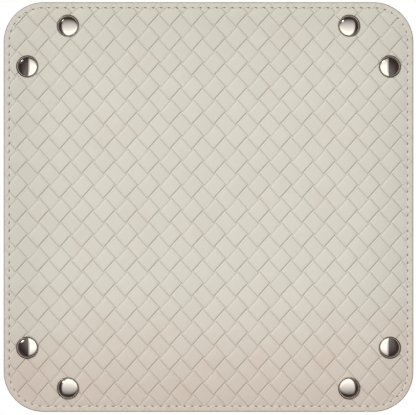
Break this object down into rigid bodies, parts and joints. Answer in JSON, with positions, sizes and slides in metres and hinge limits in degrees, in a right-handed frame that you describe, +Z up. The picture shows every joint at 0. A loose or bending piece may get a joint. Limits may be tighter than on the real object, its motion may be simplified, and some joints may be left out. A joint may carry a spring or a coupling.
{
  "type": "folding dice tray",
  "caption": "Square sheet of woven-embossed leather that lies flat and snaps at its corners into a shallow walled tray for rolling dice.",
  "frame": {"origin": "centre of the flat sheet, at the lowest points of the snap caps that it lies on", "axes": "+Z up, the way the tray's mouth faces; +X to the right wall and +Y to the back wall; the outer leather faces -Z"},
  "size_m": [0.23, 0.23, 0.0074],
  "materials": {
    "woven_leather": "woven emboss, satin",
    "lining_leather": "woven emboss, satin",
    "thread": "waxed thread, satin",
    "board": "pressed fibreboard, matt",
    "nickel_cap": "polished nickel",
    "nickel": "polished nickel",
    "spring_wire": "drawn wire"
  },
  "bodies": {
    "base": {"base_outer_leather": "woven_leather", "base_lining_leather": "lining_leather", "base_board": "board"},
    "wall_front": {"wall_front_outer_leather": "woven_leather", "wall_front_lining_leather": "lining_leather", "wall_front_stitching": "thread"},
    "wall_right": {"wall_right_outer_leather": "woven_leather", "wall_right_lining_leather": "lining_leather", "wall_right_stitching": "thread"},
    "wall_back": {"wall_back_outer_leather": "woven_leather", "wall_back_lining_leather": "lining_leather", "wall_back_stitching": "thread"},
    "wall_left": {"wall_left_outer_leather": "woven_leather", "wall_left_lining_leather": "lining_leather", "wall_left_stitching": "thread"},
    "socket_flap_front_left": {"socket_flap_front_left_outer_leather": "woven_leather", "socket_flap_front_left_lining_leather": "lining_leather", "socket_flap_front_left_stitching": "thread", "socket_flap_front_left_cap": "nickel_cap", "snap_socket_front_left": "nickel", "snap_spring_front_left": "spring_wire"},
    "stud_flap_front_left": {"stud_flap_front_left_outer_leather": "woven_leather", "stud_flap_front_left_lining_leather": "lining_leather", "stud_flap_front_left_stitching": "thread", "stud_flap_front_left_cap": "nickel_cap", "snap_stud_front_left": "nickel"},
    "socket_flap_front_right": {"socket_flap_front_right_outer_leather": "woven_leather", "socket_flap_front_right_lining_leather": "lining_leather", "socket_flap_front_right_stitching": "thread", "socket_flap_front_right_cap": "nickel_cap", "snap_socket_front_right": "nickel", "snap_spring_front_right": "spring_wire"},
    "stud_flap_front_right": {"stud_flap_front_right_outer_leather": "woven_leather", "stud_flap_front_right_lining_leather": "lining_leather", "stud_flap_front_right_stitching": "thread", "stud_flap_front_right_cap": "nickel_cap", "snap_stud_front_right": "nickel"},
    "socket_flap_back_right": {"socket_flap_back_right_outer_leather": "woven_leather", "socket_flap_back_right_lining_leather": "lining_leather", "socket_flap_back_right_stitching": "thread", "socket_flap_back_right_cap": "nickel_cap", "snap_socket_back_right": "nickel", "snap_spring_back_right": "spring_wire"},
    "stud_flap_back_right": {"stud_flap_back_right_outer_leather": "woven_leather", "stud_flap_back_right_lining_leather": "lining_leather", "stud_flap_back_right_stitching": "thread", "stud_flap_back_right_cap": "nickel_cap", "snap_stud_back_right": "nickel"},
    "socket_flap_back_left": {"socket_flap_back_left_outer_leather": "woven_leather", "socket_flap_back_left_lining_leather": "lining_leather", "socket_flap_back_left_stitching": "thread", "socket_flap_back_left_cap": "nickel_cap", "snap_socket_back_left": "nickel", "snap_spring_back_left": "spring_wire"},
    "stud_flap_back_left": {"stud_flap_back_left_outer_leather": "woven_leather", "stud_flap_back_left_lining_leather": "lining_leather", "stud_flap_back_left_stitching": "thread", "stud_flap_back_left_cap": "nickel_cap", "snap_stud_back_left": "nickel"}
  },
  "joints": [
    {"name": "wall_front_fold", "type": "hinge", "parent": "base", "child": "wall_front", "pos_m": [0, -0.0745, 0.0047], "axis": [-1, 0, 0], "range_deg": [0, 90]},
    {"name": "wall_right_fold", "type": "hinge", "parent": "base", "child": "wall_right", "pos_m": [0.0745, 0, 0.0047], "axis": [0, -1, 0], "range_deg": [0, 90]},
    {"name": "wall_back_fold", "type": "hinge", "parent": "base", "child": "wall_back", "pos_m": [0, 0.0745, 0.0047], "axis": [1, 0, 0], "range_deg": [0, 90]},
    {"name": "wall_left_fold", "type": "hinge", "parent": "base", "child": "wall_left", "pos_m": [-0.0745, 0, 0.0047], "axis": [0, 1, 0], "range_deg": [0, 90]},
    {"name": "crease_front_left_fold", "type": "hinge", "parent": "wall_front", "child": "socket_flap_front_left", "pos_m": [-0.07124, -0.09475, 0.0023], "axis": [0, -1, 0], "range_deg": [0, 45]},
    {"name": "ear_front_left_fold", "type": "hinge", "parent": "socket_flap_front_left", "child": "stud_flap_front_left", "pos_m": [-0.09475, -0.09475, 0.0063], "axis": [0.7071, 0.7071, 0], "range_deg": [0, 180]},
    {"name": "crease_front_right_fold", "type": "hinge", "parent": "wall_right", "child": "socket_flap_front_right", "pos_m": [0.09475, -0.07124, 0.0023], "axis": [1, 0, 0], "range_deg": [0, 45]},
    {"name": "ear_front_right_fold", "type": "hinge", "parent": "socket_flap_front_right", "child": "stud_flap_front_right", "pos_m": [0.09475, -0.09475, 0.0063], "axis": [-0.7071, 0.7071, 0], "range_deg": [0, 180]},
    {"name": "crease_back_right_fold", "type": "hinge", "parent": "wall_back", "child": "socket_flap_back_right", "pos_m": [0.07124, 0.09475, 0.0023], "axis": [0, 1, 0], "range_deg": [0, 45]},
    {"name": "ear_back_right_fold", "type": "hinge", "parent": "socket_flap_back_right", "child": "stud_flap_back_right", "pos_m": [0.09475, 0.09475, 0.0063], "axis": [-0.7071, -0.7071, 0], "range_deg": [0, 180]},
    {"name": "crease_back_left_fold", "type": "hinge", "parent": "wall_left", "child": "socket_flap_back_left", "pos_m": [-0.09475, 0.07124, 0.0023], "axis": [-1, 0, 0], "range_deg": [0, 45]},
    {"name": "ear_back_left_fold", "type": "hinge", "parent": "socket_flap_back_left", "child": "stud_flap_back_left", "pos_m": [-0.09475, 0.09475, 0.0063], "axis": [0.7071, -0.7071, 0], "range_deg": [0, 180]}
  ],
  "couplings": [
    {"joint": "wall_right_fold", "follows": "wall_front_fold", "ratio": 1},
    {"joint": "wall_back_fold", "follows": "wall_front_fold", "ratio": 1},
    {"joint": "wall_left_fold", "follows": "wall_front_fold", "ratio": 1},
    {"joint": "crease_front_left_fold", "follows": "wall_front_fold", "ratio": 0.5},
    {"joint": "ear_front_left_fold", "follows": "wall_front_fold", "ratio": 2},
    {"joint": "crease_front_right_fold", "follows": "wall_front_fold", "ratio": 0.5},
    {"joint": "ear_front_right_fold", "follows": "wall_front_fold", "ratio": 2},
    {"joint": "crease_back_right_fold", "follows": "wall_front_fold", "ratio": 0.5},
    {"joint": "ear_back_right_fold", "follows": "wall_front_fold", "ratio": 2},
    {"joint": "crease_back_left_fold", "follows": "wall_front_fold", "ratio": 0.5},
    {"joint": "ear_back_left_fold", "follows": "wall_front_fold", "ratio": 2}
  ]
}
